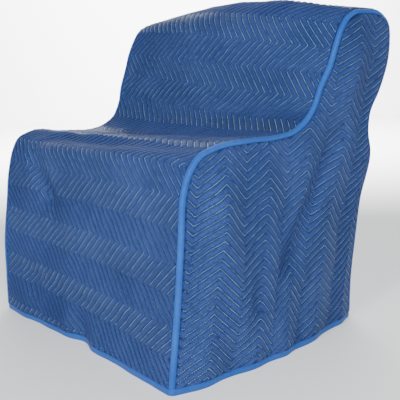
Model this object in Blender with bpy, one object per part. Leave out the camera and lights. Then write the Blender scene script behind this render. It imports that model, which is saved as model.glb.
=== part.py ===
"""A fitted quilted cover for an armchair, built as the six pieces that are cut and sewn.

Metres, +Z up. +X is to the right of someone who faces the cover, and +Y runs to the rear.
Each quilted panel is made flat, cut to its outline, and then wrapped over the form.
"""

import bmesh
import bpy
import numpy as np

# Driving dimensions
HALF_WIDTH = 0.4535  # centre line to a side seam
PAD = 0.005  # thickness of the quilted cloth at a stitch line
PUFF = 0.0032  # how far the filling stands up between two stitch lines
GAP = 0.0003  # clearance between neighbouring pieces
TAPE = 0.013  # width of the seam binding on each of its two faces
TAPE_PROUD = 0.0022  # how far the bindings stand out from the cloth
HEM_HEIGHT = 0.018  # height of the hem binding
PANEL_FOOT = HEM_HEIGHT + 0.0005  # where the panels and seam bindings end
CENTRE = (0.0, 0.4690)  # plan position, from the front plane, that becomes the origin

# Zigzag quilting of the centre panel, whose lines run along the strip
STRIP_PITCH = 0.0266
STRIP_SWING = 0.0866
STRIP_HALF_RUN = 0.0812
STRIP_FIRST_APEX = 0.356
STRIP_SKEW = (-0.045, -0.105)  # how the rows of apexes slope, at the front and on the back
STRIP_SKEW_FROM = (0.60, 1.00)

# Zigzag quilting of the side panels, whose lines run from front to rear
SIDE_PITCH = 0.0236
SIDE_SWING = (0.0614, 0.0512)  # at the front, and on the wing
SIDE_SWING_FROM = (0.17, 0.65)
SIDE_HALF_RUN = 0.0862
SIDE_FIRST_APEX = 0.1725
SIDE_BASE = -0.0249  # height of the middle of the lowest line at the first apex
SIDE_DRIFT = (-0.160, -0.113)  # the lines fall towards the rear, more at the front
SIDE_DRIFT_FROM = 0.345
SIDE_LEAN = (0.18, 0.28)  # the apexes lie further back higher up, more so on the wing
SIDE_LEAN_FROM = (0.57, 0.69)
SIDE_FAN = 0.27  # and lean more behind the deep crease, below the wing
SIDE_FAN_FROM = (0.36, 0.60)
SIDE_FAN_DEPTH = 0.25

SIDE_SPARE = (0.08, 0.25)  # how far the leaning columns reach past the panel, front and rear
INNER_CELL = (0.06, 0.10)  # size of the facets of a side's inner face

# The cloth bends a little along its rows of apexes
STRIP_FLEX = 0.0085
SIDE_FLEX = 0.0080
SEAM_EASE = 0.07  # how far from its seams a side comes to bend in full

# The sides stand out from their seams as a shallow pillow
SWELL_REACH = (0.110, 0.20)  # from the front seam, and from the rear one
SWELL = ((0.0, 0.018), (0.25, 0.022), (0.47, 0.021), (0.62, 0.008), (0.75, 0.020), (0.98, 0.016))

# The two side seams in profile, from the front hem over the arms and back to the rear hem.
# The crown is how far the middle of the strip stands out from the line between the seams.
SEAMS = (
    # place, left y, left z, right y, right z, crown
    ("front hem", 0.012, 0.000, -0.026, 0.000, -0.012),
    ("front low", 0.015, 0.125, -0.010, 0.125, -0.014),
    ("front middle", 0.019, 0.250, 0.007, 0.250, -0.016),
    ("front high", 0.038, 0.385, 0.023, 0.395, -0.015),
    ("front top", 0.056, 0.497, 0.037, 0.520, -0.012),
    ("arm curl low", 0.074, 0.555, 0.056, 0.564, -0.008),
    ("arm curl high", 0.101, 0.597, 0.093, 0.603, -0.006),
    ("arm front", 0.142, 0.614, 0.139, 0.618, -0.008),
    ("arm middle", 0.270, 0.609, 0.283, 0.628, -0.014),
    ("arm rear", 0.400, 0.604, 0.387, 0.627, -0.012),
    ("seat turn", 0.467, 0.619, 0.472, 0.638, -0.008),
    ("back foot", 0.515, 0.650, 0.529, 0.669, -0.006),
    ("back low", 0.540, 0.695, 0.561, 0.704, -0.004),
    ("back lower middle", 0.553, 0.750, 0.588, 0.755, 0.000),
    ("back middle", 0.578, 0.815, 0.630, 0.813, 0.006),
    ("back high", 0.602, 0.880, 0.659, 0.875, 0.018),
    ("top curl low", 0.625, 0.922, 0.678, 0.912, 0.028),
    ("top curl high", 0.656, 0.960, 0.706, 0.947, 0.037),
    ("top front", 0.706, 0.982, 0.740, 0.966, 0.043),
    ("top", 0.797, 0.990, 0.805, 0.975, 0.043),
    ("top rear", 0.883, 0.980, 0.895, 0.968, 0.034),
    ("shoulder", 0.937, 0.940, 0.941, 0.934, 0.021),
    ("rear bulge", 0.950, 0.890, 0.950, 0.890, 0.012),
    ("rear high", 0.945, 0.830, 0.945, 0.830, 0.008),
    ("rear upper middle", 0.905, 0.740, 0.904, 0.738, 0.004),
    ("rear waist", 0.853, 0.660, 0.850, 0.657, 0.000),
    ("rear fold low", 0.850, 0.596, 0.847, 0.596, 0.000),
    ("rear fold", 0.861, 0.548, 0.861, 0.548, 0.002),
    ("rear middle", 0.812, 0.390, 0.811, 0.388, 0.008),
    ("rear low", 0.790, 0.256, 0.789, 0.256, 0.012),
    ("rear lowest", 0.773, 0.125, 0.772, 0.125, 0.014),
    ("rear hem", 0.771, 0.000, 0.771, 0.000, 0.014),
)

# Soft folds of the centre panel. Each follows a line of (x, s) points, and heights stand outwards.
STRIP_FOLDS = (
    # name, half width, height, line
    ("hem pleat", 0.085, -0.021, ((0.005, -0.02), (-0.002, 0.045))),
    ("pleat rise", 0.090, -0.005, ((0.000, 0.05), (-0.020, 0.20))),
    ("left hem corner", 0.120, 0.015, ((-0.350, -0.02), (-0.345, 0.06))),
    ("front drag", 0.060, -0.015, ((-0.310, 0.57), (-0.200, 0.44))),
    ("drag end", 0.050, -0.006, ((-0.200, 0.45), (-0.120, 0.33))),
    ("left hollow", 0.085, -0.017, ((-0.420, 0.19), (-0.270, 0.14))),
    ("low hollow", 0.050, -0.005, ((-0.200, 0.15), (0.300, 0.12))),
    ("front edge", 0.075, 0.013, ((-0.330, 0.575), (0.380, 0.580))),
    ("front edge line", 0.034, 0.008, ((-0.300, 0.582), (0.400, 0.590))),
    ("dip behind the edge", 0.045, -0.008, ((-0.260, 0.645), (0.400, 0.640))),
    ("seat edge roll", 0.060, 0.006, ((-0.100, 0.70), (0.330, 0.69))),
    ("back wrinkle", 0.032, -0.005, ((-0.430, 1.19), (-0.330, 1.21), (-0.230, 1.19))),
    ("lower back wrinkle", 0.038, -0.008, ((-0.400, 1.14), (-0.290, 1.11))),
    ("wrinkle end", 0.035, -0.005, ((-0.310, 1.11), (-0.140, 1.04))),
    ("soft back fold", 0.050, -0.004, ((-0.040, 1.19), (0.190, 1.08))),
)

# Soft shapes of the right side panel. Each follows a line of (y, z) points.
SIDE_FOLDS = (
    # name, half width, height, line
    ("front roll", 0.080, 0.015, ((0.145, 0.46), (0.165, 0.38), (0.190, 0.27), (0.190, 0.14))),
    ("trough behind the roll", 0.055, -0.008, ((0.300, 0.45), (0.295, 0.36), (0.270, 0.18))),
    (
        "deep crease",
        0.055,
        -0.015,
        ((0.690, 0.62), (0.552, 0.47), (0.451, 0.35), (0.405, 0.27)),
    ),
    ("crease foot", 0.080, -0.007, ((0.405, 0.27), (0.395, 0.18), (0.430, 0.06))),
    ("ridge behind the crease", 0.050, 0.006, ((0.570, 0.43), (0.515, 0.32), (0.470, 0.22))),
)

# The sides swell outwards: a soft mound about each (y, z), with its reach both ways
BELLY = (
    # name, y, z, reach y, reach z, height
    ("hem flare", 0.35, 0.00, 0.46, 0.62, 0.030),
)

BLUE_CLOTH = (0.045, 0.115, 0.275, 1.0)
BLUE_TAPE = (0.040, 0.150, 0.430, 1.0)

PLACES = np.array([row[1:] for row in SEAMS])
STEPS = np.diff((PLACES[:, 0:2] + PLACES[:, 2:4]) / 2, axis=0)
STATIONS = np.concatenate([[0.0], np.cumsum(np.hypot(STEPS[:, 0], STEPS[:, 1]))])
LENGTH = STATIONS[-1]  # the strip's length from hem to hem
TOP_PLACE = [row[0] for row in SEAMS].index("top")
HEM_EASE = (0.03, 0.13)  # heights over which the cloth comes to hang straight down


def smooth_curve(knots, values, at):
    """A cubic curve through the rows of values at the knots, read at each place in at."""
    slopes = np.gradient(values, knots, axis=0)
    i = np.clip(np.searchsorted(knots, at) - 1, 0, len(knots) - 2)
    span = (knots[i + 1] - knots[i])[:, None]
    t = (at - knots[i])[:, None] / span
    start = (1 + 2 * t) * (1 - t) ** 2 * values[i] + t * (1 - t) ** 2 * span * slopes[i]
    end = t * t * (3 - 2 * t) * values[i + 1] + t * t * (t - 1) * span * slopes[i + 1]
    return start + end


def zigzag(along, half_run):
    """A triangle wave from -0.5 to 0.5, with a peak at zero."""
    return np.abs(along / half_run % 2 - 1) - 0.5


def fold_height(a, b, folds):
    """The height of all the folds at points (a, b) of a panel."""
    total = np.zeros_like(a)
    for _, half_width, height, line in folds:
        away = np.full_like(a, half_width)
        for (a0, b0), (a1, b1) in zip(line, line[1:]):
            run = np.array([a1 - a0, b1 - b0])
            t = np.clip(((a - a0) * run[0] + (b - b0) * run[1]) / (run @ run), 0, 1)
            away = np.minimum(away, np.hypot(a - a0 - t * run[0], b - b0 - t * run[1]))
        total += height * np.cos(away / half_width * np.pi / 2) ** 2
    return total


def flex(along, half_run):
    """A soft wave from -0.5 to 0.5, with a peak at zero."""
    return 0.5 * np.cos(along / half_run * np.pi)


def rise(away, reach):
    """0 at a seam, rising as a rounded edge does to 1 at its reach."""
    return np.sin(np.clip(away / reach, 0, 1) * np.pi / 2)


def away_from(y, z, line):
    """The distance of each (y, z) from a line of points."""
    away = np.full_like(y, 9.0)
    for (y0, z0), (y1, z1) in zip(line, line[1:]):
        run = np.array([y1 - y0, z1 - z0])
        t = np.clip(((y - y0) * run[0] + (z - z0) * run[1]) / (run @ run), 0, 1)
        away = np.minimum(away, np.hypot(y - y0 - t * run[0], z - z0 - t * run[1]))
    return away


def side_swell(y, z, side):
    """How far a side stands out from its seams as a pillow does."""
    first = 0 if side < 0 else 2
    line = PLACES[:, first : first + 2]
    front = rise(away_from(y, z, line[: TOP_PLACE + 1]), SWELL_REACH[0])
    rear = rise(away_from(y, z, line[TOP_PLACE:]), SWELL_REACH[1])
    heights = np.array(SWELL)
    return front * rear * np.interp(z, heights[:, 0], heights[:, 1])


def belly(y, z):
    """How far the sides swell outwards at (y, z)."""
    total = np.zeros_like(y)
    for _, y0, z0, reach_y, reach_z, height in BELLY:
        away = np.clip(np.hypot((y - y0) / reach_y, (z - z0) / reach_z), 0, 1)
        total += height * np.cos(away * np.pi / 2) ** 2
    return total


def strip_skew(row):
    share = np.clip((row - STRIP_SKEW_FROM[0]) / (STRIP_SKEW_FROM[1] - STRIP_SKEW_FROM[0]), 0, 1)
    return STRIP_SKEW[0] + (STRIP_SKEW[1] - STRIP_SKEW[0]) * share * share * (3 - 2 * share)


def strip_place(line, row):
    """The (x, s) of a stitch line where it crosses a row of the pattern."""
    x = line * STRIP_PITCH + STRIP_SWING * zigzag(row - STRIP_FIRST_APEX, STRIP_HALF_RUN)
    return x, row + strip_skew(row) * x


def strip_quilting(x, s):
    """How many stitch lines lie to the left of a point, and its row of the pattern."""
    row = s
    for _ in range(4):
        row = s - strip_skew(row) * x
    across = (x - STRIP_SWING * zigzag(row - STRIP_FIRST_APEX, STRIP_HALF_RUN)) / STRIP_PITCH
    return np.stack([across, row], axis=1)


def side_level(apex):
    """The height of the lowest stitch line at a place from front to rear."""
    drift = SIDE_DRIFT[0] * (np.minimum(apex, SIDE_DRIFT_FROM) - SIDE_FIRST_APEX)
    drift += SIDE_DRIFT[1] * np.maximum(apex - SIDE_DRIFT_FROM, 0)
    swing = np.interp(apex, SIDE_SWING_FROM, SIDE_SWING)
    return SIDE_BASE + drift + swing * zigzag(apex - SIDE_FIRST_APEX, SIDE_HALF_RUN)


def side_shift(z):
    """How far back the columns of apexes lie at a height, and how much less behind the crease."""
    more = (SIDE_LEAN[1] - SIDE_LEAN[0]) * np.maximum(z - SIDE_LEAN_FROM[1], 0)
    less = SIDE_FAN * np.clip(z - SIDE_LEAN_FROM[0], -SIDE_FAN_DEPTH, 0)
    return SIDE_LEAN[0] * (z - SIDE_LEAN_FROM[0]) + more, less


def side_place(line, apex):
    """The (y, z) of a stitch line where it crosses a column of the pattern."""
    z = line * SIDE_PITCH + side_level(apex)
    back, fan = side_shift(z)
    share = (apex - SIDE_FAN_FROM[0]) / (SIDE_FAN_FROM[1] - SIDE_FAN_FROM[0])
    return apex + back + fan * np.clip(share, 0, 1), z


def side_quilting(y, z):
    """How many stitch lines lie below a point, and its column of the pattern."""
    back, fan = side_shift(z)
    apex = y - back
    squeeze = 1 + fan / (SIDE_FAN_FROM[1] - SIDE_FAN_FROM[0])
    between = SIDE_FAN_FROM[0] + (apex - SIDE_FAN_FROM[0]) / squeeze
    apex = np.minimum(np.maximum(between, apex), apex - fan)
    return np.stack([(z - side_level(apex)) / SIDE_PITCH, apex], axis=1)


def strip_section(x, s):
    """The centre panel's line between its seams at x and s, its outward normal and its crown."""
    share = ((x / HALF_WIDTH + 1) / 2)[:, None]
    rows = [smooth_curve(STATIONS, PLACES, np.clip(s + d, 0, LENGTH)) for d in (-0.002, 0.0, 0.002)]
    before, here, after = ((1 - share) * r[:, 0:2] + share * r[:, 2:4] for r in rows)
    along = after - before
    along[:, 0] *= np.clip((here[:, 1] - HEM_EASE[0]) / (HEM_EASE[1] - HEM_EASE[0]), 0, 1)
    along /= np.hypot(along[:, 0], along[:, 1])[:, None]
    normal = np.stack([-along[:, 1], along[:, 0]], axis=1)
    return here, normal, rows[1][:, 4]


def wrap_strip(points):
    """Flat (x, s, height) to the centre panel's place over the arms and back."""
    x, s, height = points.T
    place, normal, crown = strip_section(x, s)
    inside = 1 - np.clip(np.abs(x) / HALF_WIDTH, 0, 1) ** 2
    bends = STRIP_FLEX * flex(strip_quilting(x, s)[:, 1] - STRIP_FIRST_APEX, STRIP_HALF_RUN)
    folds = (fold_height(x, s, STRIP_FOLDS) + bends) * np.sqrt(inside)
    y, z = (place + normal * (height + crown * inside + folds)[:, None]).T
    return np.stack([x, y, z], axis=1)


def wrap_side(points, side):
    """Flat (y, z, height) to a side panel's place. The left side has no deep crease."""
    y, z, height = points.T
    first = 0 if side < 0 else 2
    inside = np.clip(away_from(y, z, PLACES[:, first : first + 2]) / SEAM_EASE, 0, 1)
    bends = SIDE_FLEX * flex(side_quilting(y, z)[:, 1] - SIDE_FIRST_APEX, SIDE_HALF_RUN)
    folds = fold_height(y, z, SIDE_FOLDS) if side > 0 else 0
    out = height + folds + side_swell(y, z, side) + bends * inside
    return np.stack([side * (HALF_WIDTH + out), y, z], axis=1)


def settle(points):
    """Swells the sides of any piece and moves the middle of the plan to the origin."""
    x, y, z = points.T
    swell = belly(y, z) * np.clip(np.abs(x) / HALF_WIDTH, 0, 1) ** 8
    return np.stack([x + np.sign(x) * swell - CENTRE[0], y - CENTRE[1], z], axis=1)


def seam_point(side, s, out, up):
    """A point near a seam, out to the side and up from the strip's face."""
    place, normal, _ = strip_section(np.full_like(s, side * HALF_WIDTH), s)
    return np.stack([np.full_like(s, side * (HALF_WIDTH + out)), *(place + normal * up).T], axis=1)


def new_object(name, mesh, colour, roughness):
    """Adds a mesh to the cover's collection with a material of its own."""
    material = bpy.data.materials.new(name)
    material.use_nodes = True
    shader = material.node_tree.nodes["Principled BSDF"]
    shader.inputs["Base Color"].default_value = colour
    shader.inputs["Roughness"].default_value = roughness
    shader.inputs["Metallic"].default_value = 0.0
    mesh.materials.append(material)
    thing = bpy.data.objects.new(name, mesh)
    cover.objects.link(thing)
    return thing


def mesh_from(bm, name):
    mesh = bpy.data.meshes.new(name)
    bm.to_mesh(mesh)
    bm.free()
    return mesh


def quilted_blank(place, lines, columns):
    """A flat closed slab whose top is a grid of stitch lines and the puffed crests between.

    place(line, column) gives the flat position of a grid point.
    """
    bm = bmesh.new()
    grid = [[bm.verts.new((*place(k, c), PUFF if k % 2 else 0.0)) for c in columns] for k in lines]
    for row, next_row in zip(grid, grid[1:]):
        for i in range(len(columns) - 1):
            bm.faces.new((row[i], row[i + 1], next_row[i + 1], next_row[i]))
    rim = [edge for edge in bm.edges if edge.is_boundary]
    walls = bmesh.ops.extrude_edge_only(bm, edges=rim)["geom"]
    for vert in (v for v in walls if isinstance(v, bmesh.types.BMVert)):
        vert.co.z = -2 * PAD
    bottom = [e for e in walls if isinstance(e, bmesh.types.BMEdge) and e.is_boundary]
    bmesh.ops.edgenet_fill(bm, edges=bottom)
    bmesh.ops.recalc_face_normals(bm, faces=bm.faces)
    return mesh_from(bm, "blank")


def panel_cutter(outline, cells):
    """A flat prism of the outline, whose underside is split into cells by lines on each axis."""
    bm = bmesh.new()
    bm.faces.new([bm.verts.new((a, b, -PAD)) for a, b in outline])
    for axis, values in enumerate(cells):
        direction = (1.0, 0.0, 0.0) if axis == 0 else (0.0, 1.0, 0.0)
        for value in values:
            everything = bm.verts[:] + bm.edges[:] + bm.faces[:]
            point = [value * d for d in direction]
            bmesh.ops.bisect_plane(bm, geom=everything, dist=1e-6, plane_co=point, plane_no=direction)
    top = bmesh.ops.extrude_face_region(bm, geom=bm.faces[:], use_keep_orig=True)["geom"]
    for vert in (v for v in top if isinstance(v, bmesh.types.BMVert)):
        vert.co.z = PAD
    bmesh.ops.recalc_face_normals(bm, faces=bm.faces)
    return mesh_from(bm, "cutter")


def cut_panel(name, blank, cutter):
    """The blank trimmed to the cutter, with its modifier applied."""
    panel = new_object(name, blank, BLUE_CLOTH, 0.85)
    knife = bpy.data.objects.new(name + "_cutter", cutter)
    cutters.objects.link(knife)
    trim = panel.modifiers.new("cut to outline", "BOOLEAN")
    trim.operation = "INTERSECT"
    trim.object = knife
    bpy.context.view_layer.update()
    trimmed = bpy.data.meshes.new_from_object(panel.evaluated_get(bpy.context.evaluated_depsgraph_get()))
    panel.modifiers.clear()
    panel.data = trimmed
    bpy.data.objects.remove(knife)
    return panel


def reshape(panel, wrap):
    """Moves every point of a flat panel to its place on the cover."""
    mesh = panel.data
    flat = np.empty(len(mesh.vertices) * 3)
    mesh.vertices.foreach_get("co", flat)
    bm = bmesh.new()
    bm.from_mesh(mesh)
    bmesh.ops.triangulate(bm, faces=bm.faces)
    for vert, place in zip(bm.verts, settle(wrap(flat.reshape(-1, 3)))):
        vert.co = place
    bmesh.ops.dissolve_degenerate(bm, edges=bm.edges, dist=1e-5)
    bmesh.ops.recalc_face_normals(bm, faces=bm.faces)
    bm.to_mesh(mesh)
    bm.free()


def make_centre_panel():
    """The strip from hem to hem. Its stitch lines run along it, with a row at every apex."""
    start, end = PANEL_FOOT, LENGTH - PANEL_FOOT
    edge = HALF_WIDTH - TAPE + TAPE_PROUD - GAP
    first = int(np.floor((start - STRIP_FIRST_APEX) / STRIP_HALF_RUN)) - 1
    apexes = STRIP_FIRST_APEX + STRIP_HALF_RUN * np.arange(first, first + LENGTH / STRIP_HALF_RUN + 4)
    bends = [(0.53, 0.68), (0.98, 1.16), (1.36, 1.52), (1.62, 1.80), (2.00, 2.16)]
    middles = (apexes[1:] + apexes[:-1]) / 2
    rows = sorted([*apexes, *(m for m in middles if any(a < m < b for a, b in bends))])
    reach = int(np.ceil((HALF_WIDTH + STRIP_SWING) / (STRIP_PITCH / 2)))

    blank = quilted_blank(lambda k, row: strip_place(k / 2, row), range(-reach, reach + 1), rows)
    outline = [(-edge, start), (edge, start), (edge, end), (-edge, end)]
    cells = np.linspace(-edge, edge, 15)[1:-1], [s for s in rows if start < s < end]
    panel = cut_panel("centre_panel", blank, panel_cutter(outline, cells))
    reshape(panel, wrap_strip)


def make_side_panel(name, side):
    """A side cut to the seam's outline. Its stitch lines run from front to rear."""
    inset = TAPE - TAPE_PROUD + GAP
    s = np.linspace(PANEL_FOOT, LENGTH - PANEL_FOOT, 66)
    outline = seam_point(side, s, 0.0, -inset)[:, 1:]
    low, high = outline.min(axis=0) - 0.02, outline.max(axis=0) + 0.02
    step = SIDE_HALF_RUN / 2
    first = SIDE_FIRST_APEX - step * np.ceil((SIDE_FIRST_APEX - low[0] + SIDE_SPARE[0]) / step)
    columns = np.arange(first, high[0] + SIDE_SPARE[1], step)
    levels = side_level(columns)
    bottom, top = low[1] - levels.max(), high[1] - levels.min()
    lines = range(int(2 * bottom / SIDE_PITCH) - 2, int(2 * top / SIDE_PITCH) + 3)
    blank = quilted_blank(lambda k, column: side_place(k / 2, column), lines, columns)
    cells = np.arange(low[0], high[0], INNER_CELL[0]), np.arange(INNER_CELL[1], high[1], INNER_CELL[1])
    panel = cut_panel(name, blank, panel_cutter(outline, cells))
    reshape(panel, lambda points: wrap_side(points, side))


def swept_tape(name, rings, closed):
    """A tape whose cross-sections are the rings of points. An open one has flat ends."""
    bm = bmesh.new()
    loops = [[bm.verts.new(point) for point in ring] for ring in rings]
    pairs = list(zip(loops, loops[1:] + loops[:1])) if closed else list(zip(loops, loops[1:]))
    for ring, next_ring in pairs:
        for i in range(len(ring)):
            j = (i + 1) % len(ring)
            bm.faces.new((ring[i], ring[j], next_ring[j], next_ring[i]))
    if not closed:
        bm.faces.new(loops[0])
        bm.faces.new(loops[-1])
    bmesh.ops.recalc_face_normals(bm, faces=bm.faces)
    return new_object(name, mesh_from(bm, name), BLUE_TAPE, 0.6)


def make_seam_binding(name, side):
    """Tape folded over a side seam: square inside, rounded where it stands out."""
    near, far, soft = TAPE_PROUD - TAPE, TAPE_PROUD, TAPE_PROUD * 1.6
    section = [(near, near), (near, far), (far - soft * 1.5, far), (far - soft * 0.3, far - soft * 0.3)]
    section += [(far, far - soft * 1.5), (far, near)]
    s = np.linspace(PANEL_FOOT, LENGTH - PANEL_FOOT, 66)
    sides = np.stack([settle(seam_point(side, s, out, up)) for out, up in section], axis=1)
    swept_tape(name, sides, closed=False)


def hem_outline():
    """The outer face of the cloth at the hem, in plan, once round from the front left corner."""
    round_off = 0.014
    across = np.linspace(-HALF_WIDTH + round_off, HALF_WIDTH - round_off, 20)
    front = wrap_strip(np.stack([across, 0 * across, 0 * across], axis=1))
    rear = wrap_strip(np.stack([across, 0 * across + LENGTH, 0 * across], axis=1))[::-1]
    runs = [front]
    for side, column, order in ((1, 2, 1), (-1, 0, -1)):
        y = np.linspace(PLACES[0, column] + round_off, PLACES[-1, column] - round_off, 16)[::order]
        run = wrap_side(np.stack([y, 0 * y, 0 * y], axis=1), side)
        runs += [run, rear] if side > 0 else [run]
    corners = [(HALF_WIDTH, PLACES[0, 2]), (HALF_WIDTH, PLACES[-1, 2])]
    corners += [(-HALF_WIDTH, PLACES[-1, 0]), (-HALF_WIDTH, PLACES[0, 0])]
    points = []
    for run, corner, next_run in zip(runs, corners, runs[1:] + runs[:1]):
        points += list(run)
        a, c, b = run[-1], np.array([*corner, 0.0]), next_run[0]
        points += [a * (1 - t) ** 2 + 2 * c * t * (1 - t) + b * t * t for t in (0.25, 0.5, 0.75)]
    return settle(np.array(points))


def make_hem_binding():
    """Tape round the whole lower edge, a little proud of the cloth on both faces."""
    line = hem_outline()
    along = np.roll(line, -1, axis=0) - np.roll(line, 1, axis=0)
    along /= np.linalg.norm(along, axis=1)[:, None]
    outward = np.stack([along[:, 1], -along[:, 0], 0 * along[:, 0]], axis=1)
    out, back, bevel = TAPE_PROUD, -PAD - 0.001, 0.002
    section = [(out, 0.0), (out, HEM_HEIGHT - bevel), (out - bevel, HEM_HEIGHT), (back, HEM_HEIGHT)]
    section += [(back, 0.0)]
    rings = np.stack([line + outward * o + np.array([0, 0, h]) for o, h in section], axis=1)
    swept_tape("hem_binding", rings, closed=True)


for thing in list(bpy.data.objects):
    bpy.data.objects.remove(thing)
cover = bpy.data.collections.new("quilted_armchair_cover")
cutters = bpy.data.collections.new("cutters")
bpy.context.scene.collection.children.link(cover)
bpy.context.scene.collection.children.link(cutters)

make_centre_panel()
make_side_panel("side_panel_right", 1)
make_side_panel("side_panel_left", -1)
make_seam_binding("seam_binding_right", 1)
make_seam_binding("seam_binding_left", -1)
make_hem_binding()
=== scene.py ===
"""The looks of a fitted quilted cover for an armchair.

Each quilted panel is made flat, with its puffs and stitches, cut to its outline, and wrapped over
the form. The tables of the form are the ones that the cover is cut and sewn from, in metres, with
their own origin on the floor at the middle of the front.
"""

import math

import bmesh
import bpy
import numpy as np
from mathutils import Matrix, Vector


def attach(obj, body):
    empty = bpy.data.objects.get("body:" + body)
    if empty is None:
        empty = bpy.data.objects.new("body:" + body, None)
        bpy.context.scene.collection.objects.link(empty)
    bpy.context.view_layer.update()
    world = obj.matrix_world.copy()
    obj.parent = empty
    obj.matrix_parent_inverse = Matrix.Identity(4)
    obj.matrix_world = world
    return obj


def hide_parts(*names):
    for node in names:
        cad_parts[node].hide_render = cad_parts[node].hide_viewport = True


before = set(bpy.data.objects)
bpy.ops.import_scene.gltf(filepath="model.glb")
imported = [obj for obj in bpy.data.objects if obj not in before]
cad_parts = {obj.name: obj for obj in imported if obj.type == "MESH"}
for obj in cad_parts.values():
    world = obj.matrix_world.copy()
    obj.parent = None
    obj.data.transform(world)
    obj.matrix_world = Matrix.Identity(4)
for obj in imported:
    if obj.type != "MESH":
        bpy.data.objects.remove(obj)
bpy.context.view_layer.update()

# The cover
HALF_WIDTH = 0.4535  # centre line to a side seam
PAD = 0.005  # thickness of the quilted cloth at a stitch line
PUFF = 0.0046  # how far the filling stands up between two stitch lines
GAP = 0.0003  # between a panel and its tape
TAPE = 0.013  # width of the seam binding on each of its two faces
TAPE_PROUD = 0.0022  # how far the bindings stand out from the cloth
HEM_HEIGHT = 0.018
HEM_CORNER = 0.014  # how far from a corner the hem starts to round
PANEL_FOOT = HEM_HEIGHT + 0.0005  # how high the panels start
CENTRE = (0.0, 0.4690)  # plan position that is the origin

# Zigzag quilting of the centre panel, whose lines run along the strip
STRIP_PITCH = 0.0266
STRIP_SWING = 0.0866
STRIP_HALF_RUN = 0.0812
STRIP_FIRST_APEX = 0.356
STRIP_SKEW = (-0.045, -0.105)  # how the rows of apexes slope, at the front and on the back
STRIP_SKEW_FROM = (0.60, 1.00)

# Zigzag quilting of the side panels, whose lines run from front to rear
SIDE_PITCH = 0.0236
SIDE_SWING = (0.0614, 0.0512)  # at the front, and on the wing
SIDE_SWING_FROM = (0.17, 0.65)
SIDE_HALF_RUN = 0.0862
SIDE_FIRST_APEX = 0.1725
SIDE_BASE = -0.0249  # height of the middle of the lowest line at the first apex
SIDE_DRIFT = (-0.160, -0.113)  # the lines fall towards the rear, more at the front
SIDE_DRIFT_FROM = 0.345
SIDE_LEAN = (0.18, 0.28)  # the apexes lie further back higher up, more so on the wing
SIDE_LEAN_FROM = (0.57, 0.69)
SIDE_FAN = 0.27  # and lean more behind the deep crease, below the wing
SIDE_FAN_FROM = (0.36, 0.60)
SIDE_FAN_DEPTH = 0.25

# The cloth bends a little along its rows of apexes
STRIP_FLEX = 0.0085
SIDE_FLEX = 0.0080
SEAM_EASE = 0.07  # how far from its seams a side comes to bend in full

# The sides stand out from their seams as a shallow pillow
SWELL_REACH = (0.110, 0.20)  # from the front seam, and from the rear one
SWELL = ((0.0, 0.018), (0.25, 0.022), (0.47, 0.021), (0.62, 0.008), (0.75, 0.020), (0.98, 0.016))

# Places across one puff where the mesh has a line, as shares of the pitch, and its height there
PUFF_SHARES = (0.0, 0.11, 0.29, 0.5, 0.71, 0.89)
PUFF_ROUND = 0.65

# Stitches
STITCH_STEP = 0.0060
STITCH_LONG = 0.0052
STITCH_WIDE = 0.0019
STITCH_HIGH = 0.0012
STITCH_LIFT = 0.35  # how much of its thickness a stitch is raised by
STITCH_CLEAR = 0.003  # how far from a panel's edge the stitches end

# Fineness of the meshes
RUN_PARTS = 8  # parts of one run of a zigzag
STRIP_LINE_PARTS = 40  # and of a run along which stitches are laid, on the centre panel
SIDE_LINE_PARTS = 48  # and on a side
INNER_ROWS = (37, 140)  # lines on the inner face of the centre panel, across and along
SIDE_CELL = 0.025  # spacing of the lines on the inner face of a side
OUTLINE_POINTS = 200
TAPE_STEP = 0.006
SIDE_SPARE = (0.08, 0.25)  # how far the leaning columns reach past a side, front and rear

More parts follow.
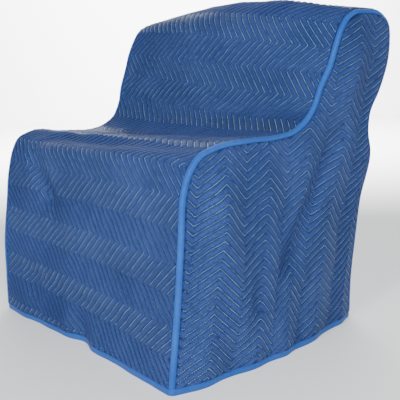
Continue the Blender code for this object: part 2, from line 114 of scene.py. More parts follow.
# The two side seams in profile, from the front hem over the arms and back to the rear hem.
# The crown is how far the middle of the strip stands out from the line between the seams.
SEAMS = (
    # place, left y, left z, right y, right z, crown
    ("front hem", 0.012, 0.000, -0.026, 0.000, -0.012),
    ("front low", 0.015, 0.125, -0.010, 0.125, -0.014),
    ("front middle", 0.019, 0.250, 0.007, 0.250, -0.016),
    ("front high", 0.038, 0.385, 0.023, 0.395, -0.015),
    ("front top", 0.056, 0.497, 0.037, 0.520, -0.012),
    ("arm curl low", 0.074, 0.555, 0.056, 0.564, -0.008),
    ("arm curl high", 0.101, 0.597, 0.093, 0.603, -0.006),
    ("arm front", 0.142, 0.614, 0.139, 0.618, -0.008),
    ("arm middle", 0.270, 0.609, 0.283, 0.628, -0.014),
    ("arm rear", 0.400, 0.604, 0.387, 0.627, -0.012),
    ("seat turn", 0.467, 0.619, 0.472, 0.638, -0.008),
    ("back foot", 0.515, 0.650, 0.529, 0.669, -0.006),
    ("back low", 0.540, 0.695, 0.561, 0.704, -0.004),
    ("back lower middle", 0.553, 0.750, 0.588, 0.755, 0.000),
    ("back middle", 0.578, 0.815, 0.630, 0.813, 0.006),
    ("back high", 0.602, 0.880, 0.659, 0.875, 0.018),
    ("top curl low", 0.625, 0.922, 0.678, 0.912, 0.028),
    ("top curl high", 0.656, 0.960, 0.706, 0.947, 0.037),
    ("top front", 0.706, 0.982, 0.740, 0.966, 0.043),
    ("top", 0.797, 0.990, 0.805, 0.975, 0.043),
    ("top rear", 0.883, 0.980, 0.895, 0.968, 0.034),
    ("shoulder", 0.937, 0.940, 0.941, 0.934, 0.021),
    ("rear bulge", 0.950, 0.890, 0.950, 0.890, 0.012),
    ("rear high", 0.945, 0.830, 0.945, 0.830, 0.008),
    ("rear upper middle", 0.905, 0.740, 0.904, 0.738, 0.004),
    ("rear waist", 0.853, 0.660, 0.850, 0.657, 0.000),
    ("rear fold low", 0.850, 0.596, 0.847, 0.596, 0.000),
    ("rear fold", 0.861, 0.548, 0.861, 0.548, 0.002),
    ("rear middle", 0.812, 0.390, 0.811, 0.388, 0.008),
    ("rear low", 0.790, 0.256, 0.789, 0.256, 0.012),
    ("rear lowest", 0.773, 0.125, 0.772, 0.125, 0.014),
    ("rear hem", 0.771, 0.000, 0.771, 0.000, 0.014),
)

# Soft folds of the centre panel. Each follows a line of (x, s) points, and heights stand outwards.
STRIP_FOLDS = (
    # name, half width, height, line
    ("hem pleat", 0.085, -0.021, ((0.005, -0.02), (-0.002, 0.045))),
    ("pleat rise", 0.090, -0.005, ((0.000, 0.05), (-0.020, 0.20))),
    ("left hem corner", 0.120, 0.015, ((-0.350, -0.02), (-0.345, 0.06))),
    ("front drag", 0.060, -0.015, ((-0.310, 0.57), (-0.200, 0.44))),
    ("drag end", 0.050, -0.006, ((-0.200, 0.45), (-0.120, 0.33))),
    ("left hollow", 0.085, -0.017, ((-0.420, 0.19), (-0.270, 0.14))),
    ("low hollow", 0.050, -0.005, ((-0.200, 0.15), (0.300, 0.12))),
    ("front edge", 0.075, 0.013, ((-0.330, 0.575), (0.380, 0.580))),
    ("front edge line", 0.034, 0.008, ((-0.300, 0.582), (0.400, 0.590))),
    ("dip behind the edge", 0.045, -0.008, ((-0.260, 0.645), (0.400, 0.640))),
    ("seat edge roll", 0.060, 0.006, ((-0.100, 0.70), (0.330, 0.69))),
    ("back wrinkle", 0.032, -0.005, ((-0.430, 1.19), (-0.330, 1.21), (-0.230, 1.19))),
    ("lower back wrinkle", 0.038, -0.008, ((-0.400, 1.14), (-0.290, 1.11))),
    ("wrinkle end", 0.035, -0.005, ((-0.310, 1.11), (-0.140, 1.04))),
    ("soft back fold", 0.050, -0.004, ((-0.040, 1.19), (0.190, 1.08))),
)

# Soft shapes of the right side panel. Each follows a line of (y, z) points.
SIDE_FOLDS = (
    # name, half width, height, line
    ("front roll", 0.080, 0.015, ((0.145, 0.46), (0.165, 0.38), (0.190, 0.27), (0.190, 0.14))),
    ("trough behind the roll", 0.055, -0.008, ((0.300, 0.45), (0.295, 0.36), (0.270, 0.18))),
    (
        "deep crease",
        0.055,
        -0.015,
        ((0.690, 0.62), (0.552, 0.47), (0.451, 0.35), (0.405, 0.27)),
    ),
    ("crease foot", 0.080, -0.007, ((0.405, 0.27), (0.395, 0.18), (0.430, 0.06))),
    ("ridge behind the crease", 0.050, 0.006, ((0.570, 0.43), (0.515, 0.32), (0.470, 0.22))),
)

# The sides swell outwards: a soft mound about each (y, z), with its reach both ways
BELLY = (
    # name, y, z, reach y, reach z, height
    ("hem flare", 0.35, 0.00, 0.46, 0.62, 0.030),
)

# Small unevenness of hanging cloth: waves of a length and direction, with their height
RIPPLES = (
    # wave length, direction in degrees, phase, height
    (0.310, 20, 0.4, 0.0016),
    (0.210, 75, 1.9, 0.0012),
    (0.150, 130, 4.1, 0.0009),
    (0.095, 50, 2.7, 0.0006),
    (0.070, 160, 5.2, 0.0004),
)

# Colours, linear
CLOTH_DEEP = (0.0040, 0.013, 0.067, 1.0)
CLOTH_PALE = (0.036, 0.067, 0.225, 1.0)
# painted shade: the dark blue laid over the cloth in the dips along each stitch line
PAINTED_GROOVE_SHADE = (0.002, 0.007, 0.034, 1.0)
TAPE_DEEP = (0.009, 0.052, 0.240, 1.0)
TAPE_PALE = (0.020, 0.092, 0.360, 1.0)
THREAD = (0.460, 0.780, 1.000, 1.0)
FLOOR = (0.90, 0.90, 0.90, 1.0)

PLACES = np.array([row[1:] for row in SEAMS])
STEPS = np.diff((PLACES[:, 0:2] + PLACES[:, 2:4]) / 2, axis=0)
STATIONS = np.concatenate([[0.0], np.cumsum(np.hypot(STEPS[:, 0], STEPS[:, 1]))])
LENGTH = float(STATIONS[-1])
TOP_PLACE = [row[0] for row in SEAMS].index("top")
HEM_EASE = (0.03, 0.13)  # heights over which the cloth comes to hang straight down


def smooth_curve(knots, values, at):
    """A cubic curve through the rows of values at the knots, read at each place in at."""
    slopes = np.gradient(values, knots, axis=0)
    i = np.clip(np.searchsorted(knots, at) - 1, 0, len(knots) - 2)
    span = (knots[i + 1] - knots[i])[:, None]
    t = (at - knots[i])[:, None] / span
    start = (1 + 2 * t) * (1 - t) ** 2 * values[i] + t * (1 - t) ** 2 * span * slopes[i]
    end = t * t * (3 - 2 * t) * values[i + 1] + t * t * (t - 1) * span * slopes[i + 1]
    return start + end


def zigzag(along, half_run):
    """A triangle wave from -0.5 to 0.5, with a peak at zero."""
    return np.abs(along / half_run % 2 - 1) - 0.5


def fold_height(a, b, folds):
    """The height of all the folds at points (a, b) of a panel."""
    total = np.zeros_like(a)
    for _, half_width, height, line in folds:
        away = np.full_like(a, half_width)
        for (a0, b0), (a1, b1) in zip(line, line[1:]):
            run = np.array([a1 - a0, b1 - b0])
            t = np.clip(((a - a0) * run[0] + (b - b0) * run[1]) / (run @ run), 0, 1)
            away = np.minimum(away, np.hypot(a - a0 - t * run[0], b - b0 - t * run[1]))
        total += height * np.cos(away / half_width * np.pi / 2) ** 2
    return total


def ripple(a, b):
    """The small unevenness of the cloth at (a, b)."""
    total = np.zeros_like(a)
    for length, degrees, phase, height in RIPPLES:
        turn = math.radians(degrees)
        along = (a * math.cos(turn) + b * math.sin(turn)) / length * 2 * math.pi
        total += height * np.sin(along + phase + 0.9 * np.sin(0.37 * along + 2 * phase))
    return total


def flex(along, half_run):
    """A soft wave from -0.5 to 0.5, with a peak at zero."""
    return 0.5 * np.cos(along / half_run * np.pi)


def rise(away, reach):
    """0 at a seam, rising as a rounded edge does to 1 at its reach."""
    return np.sin(np.clip(away / reach, 0, 1) * np.pi / 2)


def away_from(y, z, line):
    """The distance of each (y, z) from a line of points."""
    away = np.full_like(y, 9.0)
    for (y0, z0), (y1, z1) in zip(line, line[1:]):
        run = np.array([y1 - y0, z1 - z0])
        t = np.clip(((y - y0) * run[0] + (z - z0) * run[1]) / (run @ run), 0, 1)
        away = np.minimum(away, np.hypot(y - y0 - t * run[0], z - z0 - t * run[1]))
    return away


def side_swell(y, z, side):
    """How far a side stands out from its seams as a pillow does."""
    first = 0 if side < 0 else 2
    line = PLACES[:, first : first + 2]
    front = rise(away_from(y, z, line[: TOP_PLACE + 1]), SWELL_REACH[0])
    rear = rise(away_from(y, z, line[TOP_PLACE:]), SWELL_REACH[1])
    heights = np.array(SWELL)
    return front * rear * np.interp(z, heights[:, 0], heights[:, 1])


def belly(y, z):
    """How far the sides swell outwards at (y, z)."""
    total = np.zeros_like(y)
    for _, y0, z0, reach_y, reach_z, height in BELLY:
        away = np.clip(np.hypot((y - y0) / reach_y, (z - z0) / reach_z), 0, 1)
        total += height * np.cos(away * np.pi / 2) ** 2
    return total


def strip_skew(row):
    share = np.clip((row - STRIP_SKEW_FROM[0]) / (STRIP_SKEW_FROM[1] - STRIP_SKEW_FROM[0]), 0, 1)
    return STRIP_SKEW[0] + (STRIP_SKEW[1] - STRIP_SKEW[0]) * share * share * (3 - 2 * share)


def strip_place(line, row):
    """The (x, s) of a stitch line where it crosses a row of the pattern."""
    x = line * STRIP_PITCH + STRIP_SWING * zigzag(row - STRIP_FIRST_APEX, STRIP_HALF_RUN)
    return x, row + strip_skew(row) * x


def strip_quilting(x, s):
    """How many stitch lines lie to the left of a point, and its row of the pattern."""
    row = s
    for _ in range(4):
        row = s - strip_skew(row) * x
    across = (x - STRIP_SWING * zigzag(row - STRIP_FIRST_APEX, STRIP_HALF_RUN)) / STRIP_PITCH
    return np.stack([across, row], axis=1)


def side_level(apex):
    """The height of the lowest stitch line at a place from front to rear."""
    drift = SIDE_DRIFT[0] * (np.minimum(apex, SIDE_DRIFT_FROM) - SIDE_FIRST_APEX)
    drift += SIDE_DRIFT[1] * np.maximum(apex - SIDE_DRIFT_FROM, 0)
    swing = np.interp(apex, SIDE_SWING_FROM, SIDE_SWING)
    return SIDE_BASE + drift + swing * zigzag(apex - SIDE_FIRST_APEX, SIDE_HALF_RUN)


def side_shift(z):
    """How far back the columns of apexes lie at a height, and how much less behind the crease."""
    more = (SIDE_LEAN[1] - SIDE_LEAN[0]) * np.maximum(z - SIDE_LEAN_FROM[1], 0)
    less = SIDE_FAN * np.clip(z - SIDE_LEAN_FROM[0], -SIDE_FAN_DEPTH, 0)
    return SIDE_LEAN[0] * (z - SIDE_LEAN_FROM[0]) + more, less


def side_place(line, apex):
    """The (y, z) of a stitch line where it crosses a column of the pattern."""
    z = line * SIDE_PITCH + side_level(apex)
    back, fan = side_shift(z)
    share = (apex - SIDE_FAN_FROM[0]) / (SIDE_FAN_FROM[1] - SIDE_FAN_FROM[0])
    return apex + back + fan * np.clip(share, 0, 1), z


def side_quilting(y, z):
    """How many stitch lines lie below a point, and its column of the pattern."""
    back, fan = side_shift(z)
    apex = y - back
    squeeze = 1 + fan / (SIDE_FAN_FROM[1] - SIDE_FAN_FROM[0])
    between = SIDE_FAN_FROM[0] + (apex - SIDE_FAN_FROM[0]) / squeeze
    apex = np.minimum(np.maximum(between, apex), apex - fan)
    return np.stack([(z - side_level(apex)) / SIDE_PITCH, apex], axis=1)


def strip_section(x, s):
    """The centre panel's line between its seams at x and s, its outward normal and its crown."""
    share = ((x / HALF_WIDTH + 1) / 2)[:, None]
    rows = [smooth_curve(STATIONS, PLACES, np.clip(s + d, 0, LENGTH)) for d in (-0.002, 0.0, 0.002)]
    before, here, after = ((1 - share) * r[:, 0:2] + share * r[:, 2:4] for r in rows)
    along = after - before
    along[:, 0] *= np.clip((here[:, 1] - HEM_EASE[0]) / (HEM_EASE[1] - HEM_EASE[0]), 0, 1)
    along /= np.hypot(along[:, 0], along[:, 1])[:, None]
    normal = np.stack([-along[:, 1], along[:, 0]], axis=1)
    return here, normal, rows[1][:, 4]


def wrap_strip(points):
    """Flat (x, s, height) to the centre panel's place over the arms and back."""
    x, s, height = points.T
    place, normal, crown = strip_section(x, s)
    inside = 1 - np.clip(np.abs(x) / HALF_WIDTH, 0, 1) ** 2
    bends = STRIP_FLEX * flex(strip_quilting(x, s)[:, 1] - STRIP_FIRST_APEX, STRIP_HALF_RUN)
    folds = (fold_height(x, s, STRIP_FOLDS) + ripple(x, s) + bends) * np.sqrt(inside)
    y, z = (place + normal * (height + crown * inside + folds)[:, None]).T
    return np.stack([x, y, z], axis=1)


def wrap_side(points, side):
    """Flat (y, z, height) to a side panel's place. The left side has no deep crease."""
    y, z, height = points.T
    first = 0 if side < 0 else 2
    inside = np.clip(away_from(y, z, PLACES[:, first : first + 2]) / SEAM_EASE, 0, 1)
    uneven = ripple(y + side, z) + SIDE_FLEX * flex(
        side_quilting(y, z)[:, 1] - SIDE_FIRST_APEX, SIDE_HALF_RUN
    )
    folds = fold_height(y, z, SIDE_FOLDS) if side > 0 else 0
    out = height + folds + side_swell(y, z, side) + uneven * inside
    return np.stack([side * (HALF_WIDTH + out), y, z], axis=1)


def settle(points):
    """Swells the sides of any piece and moves the middle of the plan to the origin."""
    x, y, z = points.T
    swell = belly(y, z) * np.clip(np.abs(x) / HALF_WIDTH, 0, 1) ** 8
    return np.stack([x + np.sign(x) * swell - CENTRE[0], y - CENTRE[1], z], axis=1)


def seam_point(side, s, out, up):
    """A point near a seam, out to the side and up from the strip's face."""
    place, normal, _ = strip_section(np.full_like(s, side * HALF_WIDTH), s)
    return np.stack([np.full_like(s, side * (HALF_WIDTH + out)), *(place + normal * up).T], axis=1)


# Materials


class Wire:
    """A shader value that adds Math nodes where it is used in an expression."""

    def __init__(self, graph, socket):
        self.graph = graph
        self.socket = socket

    def maths(self, operation, *values):
        return self.graph.node("ShaderNodeMath", {"operation": operation}, *values)

    def __add__(self, other):
        return self.maths("ADD", self, other)

    def __sub__(self, other):
        return self.maths("SUBTRACT", self, other)

    def __rsub__(self, other):
        return self.maths("SUBTRACT", other, self)

    def __mul__(self, other):
        return self.maths("MULTIPLY", self, other)

    def __pow__(self, other):
        return self.maths("POWER", self, other)

    def __abs__(self):
        return self.maths("ABSOLUTE", self)

    def fraction(self):
        return self.maths("FRACT", self)

    def limited(self):
        return self.graph.node("ShaderNodeClamp", {}, self)

    __radd__ = __add__
    __rmul__ = __mul__


class Graph:
    """One material's nodes."""

    def __init__(self, name):
        self.material = bpy.data.materials.new(name)
        self.material.use_nodes = True
        self.tree = self.material.node_tree
        self.shader = self.tree.nodes["Principled BSDF"]

    def plug(self, socket, value):
        if isinstance(value, Wire):
            self.tree.links.new(value.socket, socket)
        else:
            socket.default_value = value

    def node(self, kind, settings, *values, out=0, **named):
        made = self.tree.nodes.new(kind)
        for key, value in settings.items():
            setattr(made, key, value)
        for socket, value in zip(made.inputs, values):
            self.plug(socket, value)
        for key, value in named.items():
            self.plug(made.inputs[key], value)
        return Wire(self, made.outputs[out])

    def mix(self, factor, first, second):
        made = self.tree.nodes.new("ShaderNodeMix")
        made.data_type = "RGBA"
        for index, value in ((0, factor), (6, first), (7, second)):
            self.plug(made.inputs[index], value)
        return Wire(self, made.outputs[2])

    def coordinates(self, uv_map, scale):
        """The named UV map, scaled, or object coordinates where no map is named."""
        if uv_map:
            source = self.node("ShaderNodeUVMap", {"uv_map": uv_map})
        else:
            source = self.node("ShaderNodeTexCoord", {}, out=3)
        return self.node("ShaderNodeVectorMath", {"operation": "MULTIPLY"}, source, scale)

    def noise(self, uv_map, scale, detail=2.0):
        where = self.coordinates(uv_map, scale)
        return self.node("ShaderNodeTexNoise", {}, Vector=where, Scale=1.0, Detail=detail)

    def bands(self, uv_map, direction, step):
        """Soft stripes a step apart along a direction of the map."""
        where = self.coordinates(uv_map, (1.0, 1.0, 1.0))
        kind = {"wave_type": "BANDS", "bands_direction": direction}
        return self.node("ShaderNodeTexWave", kind, Vector=where, Scale=math.pi / 10 / step, out=1)

    def bump(self, height, distance, strength=1.0):
        return self.node(
            "ShaderNodeBump", {}, Height=height, Distance=distance, Strength=strength
        )

    def finish(self, colour, roughness, normal, sheen):
        self.plug(self.shader.inputs["Base Color"], colour)
        self.plug(self.shader.inputs["Roughness"], roughness)
        self.plug(self.shader.inputs["Normal"], normal)
        self.shader.inputs["Sheen Weight"].default_value = sheen
        self.shader.inputs["Sheen Roughness"].default_value = 0.45
        self.shader.inputs["Sheen Tint"].default_value = (0.55, 0.75, 1.0, 1.0)
        self.shader.inputs["Specular IOR Level"].default_value = 0.25
        self.shader.inputs["Specular Tint"].default_value = (0.40, 0.70, 1.0, 1.0)
        return self.material


def quilted_cloth():
    """Blue woven cloth: yarns, a slightly mottled dye, and puckers that run off each stitch line,
    with painted shade darkening the cloth near each stitch line.
    """
    g = Graph("quilted_cloth")
    weft = g.bands("cloth", "X", 0.0011)
    warp = g.bands("cloth", "Y", 0.0011)
    yarn = g.noise("cloth", (700.0, 160.0, 1.0), 3.0)
    slub = g.noise("cloth", (120.0, 900.0, 1.0), 2.0)
    fleck = g.noise("cloth", (190.0, 230.0, 1.0), 3.0)
    mottle = g.noise(None, (5.0, 5.0, 5.0), 4.0)
    pucker = g.noise("quilting", (1.6, 150.0, 1.0), 2.0)
    split = g.node("ShaderNodeSeparateXYZ", {}, g.node("ShaderNodeUVMap", {"uv_map": "quilting"}))
    at_stitch = abs(split.fraction() * 2 - 1)
    # painted shade: darkest on each stitch line, fading to nothing towards the middle of each puff
    groove_shade = at_stitch**2.4
    tone = (mottle - 0.5) * 0.9 + (yarn - 0.5) * 0.9 + (slub - 0.5) * 0.6 + (fleck - 0.5) * 1.9 + 0.5
    colour = g.mix(tone.limited(), CLOTH_DEEP, CLOTH_PALE)
    # the cloth's colour darkened towards the painted shade near the stitch lines
    colour = g.mix(groove_shade * 0.9, colour, PAINTED_GROOVE_SHADE)
    weave = g.bump((weft + warp) * 0.5 + yarn * 0.6, 0.00035, 0.6)
    height = pucker * at_stitch**2
    normal = g.node("ShaderNodeBump", {}, Height=height, Distance=0.0016, Strength=0.8, Normal=weave)
    return g.finish(colour, yarn * 0.1 + 0.60, normal, 0.02)


def binding_tape():
    """Smooth bias tape: close diagonal ribs and small puckers across its length."""
    g = Graph("binding_tape")
    ribs = g.bands("cloth", "DIAGONAL", 0.0009)
    pucker = g.noise("cloth", (25.0, 110.0, 1.0), 2.0)
    wear = g.noise(None, (9.0, 9.0, 9.0), 4.0)
    tone = ((wear - 0.5) * 1.2 + (pucker - 0.5) * 0.8 + (ribs - 0.5) * 0.2 + 0.5).limited()
    colour = g.mix(tone, TAPE_DEEP, TAPE_PALE)
    fine = g.bump(ribs, 0.0002, 0.5)
    normal = g.node("ShaderNodeBump", {}, Height=pucker, Distance=0.0012, Strength=0.6, Normal=fine)
    return g.finish(colour, pucker * 0.12 + 0.48, normal, 0.05)


def thread():
    """Pale sewing thread with a twist, sunk into the cloth in places."""
    g = Graph("thread")
    twist = g.noise(None, (900.0, 900.0, 900.0), 2.0)
    sunk = g.noise(None, (55.0, 55.0, 55.0), 3.0)
    shown = ((sunk - 0.30) * 4.0).limited()
    colour = g.mix(shown, CLOTH_PALE, THREAD)
    return g.finish(colour, twist * 0.1 + 0.5, g.bump(twist, 0.0002, 0.5), 0.1)


def pale_floor():
    g = Graph("floor")
    grain = g.noise(None, (3.0, 3.0, 3.0), 3.0)
    colour = g.mix(grain, tuple(0.985 * c for c in FLOOR[:3]) + (1.0,), FLOOR)
    return g.finish(colour, grain * 0.05 + 0.7, g.bump(grain, 0.0002, 0.1), 0.0)


# Meshes


def mesh_from(bm, name):
    mesh = bpy.data.meshes.new(name)
    bm.to_mesh(mesh)
    bm.free()
    return mesh


def coordinates_of(mesh):
    flat = np.empty(len(mesh.vertices) * 3)
    mesh.vertices.foreach_get("co", flat)
    return flat.reshape(-1, 3)


def add_piece(name, mesh, material, node=None):
    """Adds a piece of the cover, which takes the place of a node where one is named."""
    mesh.materials.append(material)
    piece = bpy.data.objects.new(name, mesh)
    bpy.context.scene.collection.objects.link(piece)
    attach(piece, "root")
    if node:
        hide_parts(node)
    return piece


def add_map(mesh, name, per_vertex):
    """A UV map from one (u, v) for each vertex."""
    corners = np.empty(len(mesh.loops), np.int32)
    mesh.loops.foreach_get("vertex_index", corners)
    layer = mesh.uv_layers.new(name=name)
    layer.data.foreach_set("uv", per_vertex[corners].astype(np.float32).ravel())


def shade(mesh, degrees):
    mesh.shade_smooth()
    mesh.set_sharp_from_angle(angle=math.radians(degrees))


def puff_height(share):
    """The filling's height at a share of the way from one stitch line to the next."""
    return PUFF * np.sin(np.pi * share) ** PUFF_ROUND


def quilted_blank(place, lines, columns):
    """A flat closed slab whose top has a grid of points on and between its stitch lines.

    place(line, column) gives the flat position of a grid point, and line may be a fraction.
    """
    bm = bmesh.new()
    steps = [(line, share) for line in lines for share in PUFF_SHARES]
    grid = []
    for line, share in steps:
        height = float(puff_height(share))
        grid.append([bm.verts.new((*place(line + share, c), height)) for c in columns])
    for row, next_row in zip(grid, grid[1:]):
        for i in range(len(columns) - 1):
            bm.faces.new((row[i], row[i + 1], next_row[i + 1], next_row[i]))
    rim = [edge for edge in bm.edges if edge.is_boundary]
    walls = bmesh.ops.extrude_edge_only(bm, edges=rim)["geom"]
    for vert in (v for v in walls if isinstance(v, bmesh.types.BMVert)):
        vert.co.z = -2 * PAD
    bottom = [e for e in walls if isinstance(e, bmesh.types.BMEdge) and e.is_boundary]
    bmesh.ops.edgenet_fill(bm, edges=bottom)
    bmesh.ops.recalc_face_normals(bm, faces=bm.faces)
    return mesh_from(bm, "blank")


def panel_cutter(outline, cells):
    """A flat prism of the outline, whose underside is split into cells by lines on each axis."""
    bm = bmesh.new()
    bm.faces.new([bm.verts.new((a, b, -PAD)) for a, b in outline])
    for axis, values in enumerate(cells):
        direction = (1.0, 0.0, 0.0) if axis == 0 else (0.0, 1.0, 0.0)
        for value in values:
            everything = bm.verts[:] + bm.edges[:] + bm.faces[:]
            point = [value * d for d in direction]
            bmesh.ops.bisect_plane(bm, geom=everything, dist=1e-6, plane_co=point, plane_no=direction)
    top = bmesh.ops.extrude_face_region(bm, geom=bm.faces[:], use_keep_orig=True)["geom"]
    for vert in (v for v in top if isinstance(v, bmesh.types.BMVert)):
        vert.co.z = 2 * PAD
    bmesh.ops.recalc_face_normals(bm, faces=bm.faces)
    return mesh_from(bm, "cutter")


def cut_flat(blank, cutter):
    """The part of the blank that lies inside the cutter."""
    panel = bpy.data.objects.new("blank", blank)
    knife = bpy.data.objects.new("cutter", cutter)
    for thing in (panel, knife):
        bpy.context.scene.collection.objects.link(thing)
    trim = panel.modifiers.new("cut to outline", "BOOLEAN")
    trim.operation = "INTERSECT"
    trim.object = knife
    bpy.context.view_layer.update()
    mesh = bpy.data.meshes.new_from_object(panel.evaluated_get(bpy.context.evaluated_depsgraph_get()))
    bpy.data.objects.remove(panel)
    bpy.data.objects.remove(knife)
    return mesh


def wrap_panel(mesh, wrap, quilting):
    """Gives a flat panel its two maps and moves every point to its place on the cover."""
    flat = coordinates_of(mesh)
    add_map(mesh, "cloth", flat[:, :2])
    add_map(mesh, "quilting", quilting(flat[:, 0], flat[:, 1]))
    mesh.vertices.foreach_set("co", settle(wrap(flat)).ravel())
    mesh.update()
    shade(mesh, 60)


def stitches(name, centres, directions, ups):
    """One spindle of thread at each centre, lying along its direction."""
    sideways = np.cross(ups, directions)
    sideways /= np.linalg.norm(sideways, axis=1)[:, None]
    half, wide, high = STITCH_LONG / 2, STITCH_WIDE / 2, STITCH_HIGH / 2
    corners = [centres - directions * half, centres + directions * half]
    corners += [centres + sideways * wide, centres + ups * high]
    corners += [centres - sideways * wide, centres - ups * high]
    points = np.stack(corners, axis=1).reshape(-1, 3)
    ring = (2, 3, 4, 5)
    faces = []
    for i in range(4):
        a, b = ring[i], ring[(i + 1) % 4]
        faces += [(0, a, b), (1, b, a)]
    pattern = np.array(faces)
    index = (np.arange(len(centres))[:, None, None] * 6 + pattern[None]).reshape(-1, 3)
    mesh = bpy.data.meshes.new(name)
    mesh.vertices.add(len(points))
    mesh.vertices.foreach_set("co", points.ravel())
    mesh.loops.add(index.size)
    mesh.loops.foreach_set("vertex_index", index.ravel().astype(np.int32))
    mesh.polygons.add(len(index))
    mesh.polygons.foreach_set("loop_start", np.arange(0, index.size, 3, dtype=np.int32))
    mesh.update(calc_edges=True)
    mesh.shade_smooth()
    return mesh


def stitch_lines(name, runs, wrap, material):
    """Stitches along every run of flat points, on the cloth where the wrap puts them."""
    starts, ends = [], []
    for run in runs:
        leg = np.linalg.norm(np.diff(run, axis=0), axis=1)
        along = np.concatenate([[0.0], np.cumsum(leg)])
        middle = np.arange(STITCH_STEP / 2, along[-1], STITCH_STEP)
        for tips, shift in ((starts, -STITCH_LONG / 2), (ends, STITCH_LONG / 2)):
            at = np.clip(middle + shift, 0, along[-1])
            tips.append(np.stack([np.interp(at, along, run[:, k]) for k in (0, 1)], axis=1))
    start, end = np.concatenate(starts), np.concatenate(ends)
    middle = (start + end) / 2

    def placed(flat, height):
        return settle(wrap(np.column_stack([flat, np.full(len(flat), height)])))

    centres = placed(middle, 0.0)
    ups = placed(middle, 0.001) - centres
    ups /= np.linalg.norm(ups, axis=1)[:, None]
    directions = placed(end, 0.0) - placed(start, 0.0)
    directions /= np.linalg.norm(directions, axis=1)[:, None]
    centres = centres + ups * STITCH_HIGH * STITCH_LIFT
    return add_piece(name, stitches(name, centres, directions, ups), material)


# The centre panel


def make_centre_panel(cloth, sewing, hem):
    start, end = PANEL_FOOT, LENGTH - PANEL_FOOT
    edge = HALF_WIDTH - TAPE + TAPE_PROUD - GAP
    step = STRIP_HALF_RUN / RUN_PARTS
    spare = abs(STRIP_SKEW[1]) * HALF_WIDTH + 2 * step
    first = STRIP_FIRST_APEX - step * math.ceil((STRIP_FIRST_APEX - start + spare) / step)
    rows = np.arange(first, end + spare, step)
    reach = int(np.ceil((edge + STRIP_SWING / 2) / STRIP_PITCH)) + 1
    blank = quilted_blank(strip_place, range(-reach, reach), rows)
    outline = [(-edge, start), (edge, start), (edge, end), (-edge, end)]
    across, along = INNER_ROWS
    cells = np.linspace(-edge, edge, across)[1:-1], np.linspace(start, end, along)[1:-1]
    mesh = cut_flat(blank, panel_cutter(outline, cells))
    wrap_panel(mesh, wrap_strip, strip_quilting)
    panel = add_piece("centre_quilting", mesh, cloth, "centre_panel")
    runs = []
    fine = np.arange(first, end + spare, STRIP_HALF_RUN / STRIP_LINE_PARTS)
    for line in range(-reach, reach + 1):
        x, along = strip_place(line, fine)
        kept = (np.abs(x) < edge - STITCH_CLEAR) & (along > start + STITCH_CLEAR)
        kept &= along < end - STITCH_CLEAR
        for piece in np.split(np.arange(len(x)), np.flatnonzero(np.diff(kept.astype(int))) + 1):
            if kept[piece[0]] and len(piece) > 3:
                runs.append(np.stack([x[piece], along[piece]], axis=1))
    thread_piece = stitch_lines("centre_stitches", runs, wrap_strip, sewing)


# The side panels


def inside_outline(points, outline):
    """Which points lie in the outline, by counting crossings."""
    y, z = points.T
    hits = np.zeros(len(points), int)
    for (y0, z0), (y1, z1) in zip(outline, np.roll(outline, -1, axis=0)):
        spans = (z0 > z) != (z1 > z)
        with np.errstate(divide="ignore", invalid="ignore"):
            hits += spans & (y < (y1 - y0) * (z - z0) / (z1 - z0) + y0)
    return hits % 2 == 1


def make_side_panel(side_name, side, cloth, sewing, binding):
    inset = TAPE - TAPE_PROUD + GAP
    s = np.linspace(PANEL_FOOT, LENGTH - PANEL_FOOT, OUTLINE_POINTS)
    outline = seam_point(side, s, 0.0, -inset)[:, 1:]
    low, high = outline.min(axis=0) - 0.02, outline.max(axis=0) + 0.02
    step = SIDE_HALF_RUN / RUN_PARTS
    first = SIDE_FIRST_APEX - step * math.ceil((SIDE_FIRST_APEX - low[0] + SIDE_SPARE[0]) / step)
    columns = np.arange(first, high[0] + SIDE_SPARE[1], step)
    levels = side_level(columns)
    bottom, top = low[1] - levels.max() - SIDE_PITCH, high[1] - levels.min() + SIDE_PITCH
    lines = range(int(bottom / SIDE_PITCH) - 1, int(top / SIDE_PITCH) + 1)
    blank = quilted_blank(side_place, lines, columns)
    cells = np.arange(low[0], high[0], SIDE_CELL), np.arange(0.04, high[1], SIDE_CELL)
    mesh = cut_flat(blank, panel_cutter(outline, cells))

    def wrap(points):
        return wrap_side(points, side)

    wrap_panel(mesh, wrap, side_quilting)
    panel = add_piece("side_quilting_" + side_name, mesh, cloth, "side_panel_" + side_name)
    inner = seam_point(side, s, 0.0, -inset - STITCH_CLEAR)[:, 1:]
    inner[:, 1] = np.maximum(inner[:, 1], PANEL_FOOT + 0.004)
    apexes = np.arange(columns[0], columns[-1], SIDE_HALF_RUN / SIDE_LINE_PARTS)
    runs = []
    for line in lines:
        run = np.stack(side_place(line, apexes), axis=1)
        kept = inside_outline(run, inner)
        for piece in np.split(np.arange(len(run)), np.flatnonzero(np.diff(kept.astype(int))) + 1):
            if kept[piece[0]] and len(piece) > 3:
                runs.append(run[piece])
    thread_piece = stitch_lines("side_stitches_" + side_name, runs, wrap, sewing)


# The bindings


def rounded_section(corners, steps):
    """A closed section through (out, up, radius) corners, with each corner rounded."""
    points = []
    for i, (out, up, radius) in enumerate(corners):
        here = np.array([out, up])
        before = np.array(corners[i - 1][:2]) - here
        after = np.array(corners[(i + 1) % len(corners)][:2]) - here
        start = here + before / np.linalg.norm(before) * radius
        end = here + after / np.linalg.norm(after) * radius
        for t in np.linspace(0, 1, steps if radius > 0 else 1):
            points.append(start * (1 - t) ** 2 + 2 * here * t * (1 - t) + end * t * t)
    return np.array(points)


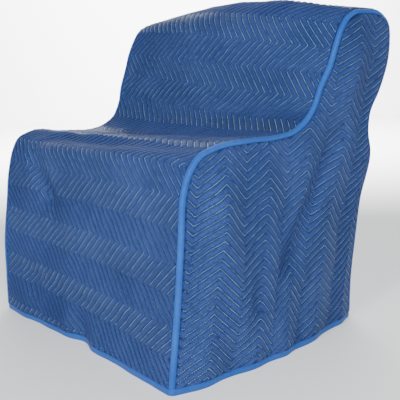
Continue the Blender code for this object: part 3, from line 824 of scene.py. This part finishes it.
def swept_tape(name, rings, closed, material, node):
    """A tape whose cross-sections are the rings of points. An open one has flat ends."""
    count, around = rings.shape[:2]
    bm = bmesh.new()
    loops = [[bm.verts.new(point) for point in ring] for ring in rings]
    pairs = list(zip(loops, loops[1:] + loops[:1])) if closed else list(zip(loops, loops[1:]))
    for ring, next_ring in pairs:
        for i in range(around):
            j = (i + 1) % around
            bm.faces.new((ring[i], ring[j], next_ring[j], next_ring[i]))
    if not closed:
        bm.faces.new(loops[0])
        bm.faces.new(loops[-1])
    bmesh.ops.recalc_face_normals(bm, faces=bm.faces)
    mesh = mesh_from(bm, name)
    middle = rings.mean(axis=1)
    along = np.concatenate([[0.0], np.cumsum(np.linalg.norm(np.diff(middle, axis=0), axis=1))])
    turn = np.concatenate([[0.0], np.cumsum(np.linalg.norm(np.diff(rings[0], axis=0), axis=1))])
    uv = np.stack(np.broadcast_arrays(turn[None, :], along[:, None]), axis=2).reshape(-1, 2)
    add_map(mesh, "cloth", uv)
    shade(mesh, 50)
    return add_piece(name, mesh, material, node)


def tape_width(along, phase):
    """How the tape swells and narrows as it was fed through the machine."""
    return 1 + 0.05 * np.sin(along * 37 + phase) + 0.04 * np.sin(along * 91 + 2 * phase)


def make_seam_binding(side_name, side, tape):
    near, far = TAPE_PROUD - TAPE, TAPE_PROUD
    corners = [(near, near, 0.001), (near, far, 0.0018), (far, far, 0.0075), (far, near, 0.0018)]
    section = rounded_section(corners, 6)
    s = np.arange(PANEL_FOOT, LENGTH - PANEL_FOOT, TAPE_STEP)
    swell = tape_width(s, 1.3 * side)
    rings = []
    for out, up in section:
        lift_out = np.where(out > 0, out * swell, out)
        lift_up = np.where(up > 0, up * swell, up)
        place, normal, _ = strip_section(np.full_like(s, side * HALF_WIDTH), s)
        spot = place + normal * lift_up[:, None]
        rings.append(settle(np.stack([side * (HALF_WIDTH + lift_out), *spot.T], axis=1)))
    rings = np.stack(rings, axis=1)
    return swept_tape("seam_tape_" + side_name, rings, False, tape, "seam_binding_" + side_name)


def hem_outline():
    """The outer face of the cloth at the hem, in plan, once round from the front left corner."""
    across = np.linspace(-HALF_WIDTH + HEM_CORNER, HALF_WIDTH - HEM_CORNER, 110)
    front = wrap_strip(np.stack([across, 0 * across, 0 * across], axis=1))
    rear = wrap_strip(np.stack([across, 0 * across + LENGTH, 0 * across], axis=1))[::-1]
    runs = [front]
    for side, column, order in ((1, 2, 1), (-1, 0, -1)):
        front_end, rear_end = PLACES[0, column] + HEM_CORNER, PLACES[-1, column] - HEM_CORNER
        y = np.linspace(front_end, rear_end, 90)[::order]
        run = wrap_side(np.stack([y, 0 * y, 0 * y], axis=1), side)
        runs += [run, rear] if side > 0 else [run]
    corners = [(HALF_WIDTH, PLACES[0, 2]), (HALF_WIDTH, PLACES[-1, 2])]
    corners += [(-HALF_WIDTH, PLACES[-1, 0]), (-HALF_WIDTH, PLACES[0, 0])]
    points = []
    for run, corner, next_run in zip(runs, corners, runs[1:] + runs[:1]):
        points += list(run)
        a, c, b = run[-1], np.array([*corner, 0.0]), next_run[0]
        points += [a * (1 - t) ** 2 + 2 * c * t * (1 - t) + b * t * t for t in (0.2, 0.4, 0.6, 0.8)]
    return settle(np.array(points))


def make_hem_binding(tape):
    line = hem_outline()
    line[:, 2] = 0
    along = np.roll(line, -1, axis=0) - np.roll(line, 1, axis=0)
    along /= np.linalg.norm(along, axis=1)[:, None]
    outward = np.stack([along[:, 1], -along[:, 0], 0 * along[:, 0]], axis=1)
    out, back = TAPE_PROUD, -PAD - 0.001
    corners = [(out, 0.0, 0.002), (out, HEM_HEIGHT, 0.003), (back, HEM_HEIGHT, 0.002)]
    corners += [(back, 0.0, 0.002)]
    section = rounded_section(corners, 5)
    rings = np.stack([line + outward * o + np.array([0, 0, h]) for o, h in section], axis=1)
    return swept_tape("hem_tape", rings, True, tape, "hem_binding")


# The studio


def make_camera():
    """The photograph's viewpoint, 60 mm on a 36 mm frame, with the rise that its framing needs."""
    height = 0.965
    where = Vector((1.694, -1.086, 0.838)) * height - Vector((*CENTRE, 0.0))
    azimuth, elevation, roll = math.radians(47.84), math.radians(13.02), math.radians(-1.47)
    data = bpy.data.cameras.new("camera")
    data.sensor_width = 36.0
    data.lens = 60.14
    data.shift_x = 0.0503
    data.shift_y = 0.0630
    camera = bpy.data.objects.new("camera", data)
    bpy.context.scene.collection.objects.link(camera)
    turn = Matrix.Rotation(azimuth, 4, "Z") @ Matrix.Rotation(math.pi / 2 - elevation, 4, "X")
    camera.matrix_world = Matrix.Translation(where) @ turn @ Matrix.Rotation(roll, 4, "Z")
    bpy.context.scene.camera = camera


def make_light(name, where, target, size, power, colour):
    data = bpy.data.lights.new(name, "AREA")
    data.shape = "DISK"
    data.size = size
    data.energy = power
    data.color = colour
    lamp = bpy.data.objects.new(name, data)
    bpy.context.scene.collection.objects.link(lamp)
    lamp.location = where
    lamp.rotation_euler = (Vector(target) - Vector(where)).to_track_quat("-Z", "Y").to_euler()


def make_studio():
    paper = pale_floor()
    bpy.ops.mesh.primitive_plane_add(size=40.0, location=(0.0, 0.0, -0.0005))
    floor = bpy.context.object
    floor.name = "floor"
    bpy.ops.mesh.primitive_plane_add(size=40.0, location=(-6.7, 6.1, 0.0))
    wall = bpy.context.object
    wall.name = "backdrop"
    wall.rotation_euler = (math.radians(90), 0.0, math.radians(47.84))
    for sheet in (floor, wall):
        sheet.data.materials.append(paper)
    world = bpy.data.worlds.new("studio")
    bpy.context.scene.world = world
    world.use_nodes = True
    world.node_tree.nodes["Background"].inputs["Color"].default_value = (0.95, 0.97, 1.0, 1.0)
    world.node_tree.nodes["Background"].inputs["Strength"].default_value = 0.21
    make_light("front key", (2.00, -9.00, 3.60), (0.0, 0.0, 0.50), 2.2, 720.0, (1.0, 1.0, 1.0))
    make_light("side key", (2.90, -1.90, 1.90), (0.3, -0.1, 0.45), 0.9, 170.0, (1.0, 1.0, 1.0))
    make_light("backdrop light", (-3.0, 2.7, 4.5), (-6.7, 6.1, 1.5), 5.0, 3200.0, (1.0, 1.0, 1.0))


cloth = quilted_cloth()
tape = binding_tape()
sewing = thread()
make_centre_panel(cloth, sewing, make_hem_binding(tape))
make_side_panel("right", 1, cloth, sewing, make_seam_binding("right", 1, tape))
make_side_panel("left", -1, cloth, sewing, make_seam_binding("left", -1, tape))
make_camera()
make_studio()
